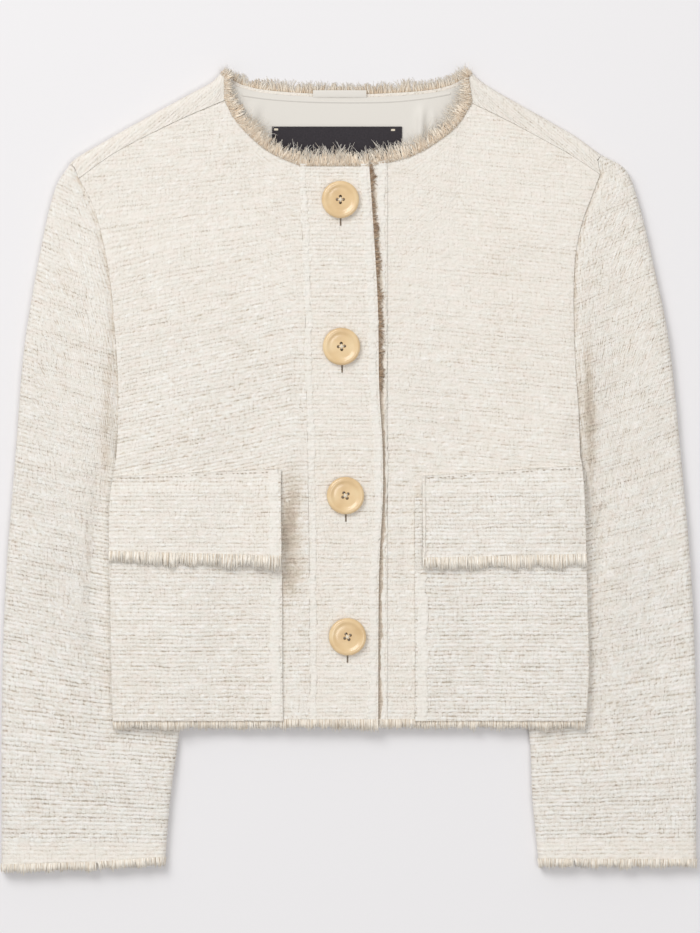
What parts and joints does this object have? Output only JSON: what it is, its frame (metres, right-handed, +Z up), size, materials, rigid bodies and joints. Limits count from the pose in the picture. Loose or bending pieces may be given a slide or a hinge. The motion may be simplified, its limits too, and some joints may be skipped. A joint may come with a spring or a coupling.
{
  "type": "cropped tweed jacket",
  "caption": "Cropped collarless tweed jacket with frayed edges, front button band and flap pockets, buttoned and laid flat face up.",
  "frame": {"origin": "on the surface that the jacket lies on, under the middle of its outline", "axes": "+X towards the wearer's left side, +Y from the hem towards the neck, +Z up out of the jacket's front"},
  "size_m": [0.5206, 0.6067, 0.0219],
  "materials": {
    "cream_tweed": "slubby boucle tweed, cream, matte",
    "beige_fray": "frayed beige threads, matte",
    "pale_selvedge": "close smooth woven edge, off-white, matte",
    "ivory_satin": "lining satin, ivory, soft sheen",
    "black_label": "woven black cloth, bare, matte",
    "tan_horn": "polished horn-like resin, tan",
    "cream_thread": "sewing thread, cream"
  },
  "bodies": {
    "root": {"front_right": "cream_tweed", "front_left": "cream_tweed", "back": "cream_tweed", "sleeve_right_upper": "cream_tweed", "sleeve_right_under": "cream_tweed", "fringe_cuff_right": "beige_fray", "pocket_right": "cream_tweed", "flap_right": "cream_tweed", "selvedge_pocket_right": "pale_selvedge", "selvedge_flap_right": "pale_selvedge", "fringe_flap_right": "beige_fray", "sleeve_left_upper": "cream_tweed", "sleeve_left_under": "cream_tweed", "fringe_cuff_left": "beige_fray", "pocket_left": "cream_tweed", "flap_left": "cream_tweed", "selvedge_pocket_left": "pale_selvedge", "selvedge_flap_left": "pale_selvedge", "fringe_flap_left": "beige_fray", "placket_right": "cream_tweed", "selvedge_placket_join": "pale_selvedge", "selvedge_placket_edge": "pale_selvedge", "placket_left": "cream_tweed", "selvedge_placket_under": "pale_selvedge", "fringe_hem_right": "beige_fray", "fringe_hem_left": "beige_fray", "fringe_hem_back": "beige_fray", "fringe_neck_right": "beige_fray", "fringe_neck_left": "beige_fray", "fringe_neck_back": "beige_fray", "button_1": "tan_horn", "button_thread_1": "cream_thread", "button_2": "tan_horn", "button_thread_2": "cream_thread", "button_3": "tan_horn", "button_thread_3": "cream_thread", "button_4": "tan_horn", "button_thread_4": "cream_thread", "lining_back": "ivory_satin", "label": "black_label", "neck_piping": "ivory_satin", "hanger_loop": "ivory_satin"}
  },
  "joints": []
}
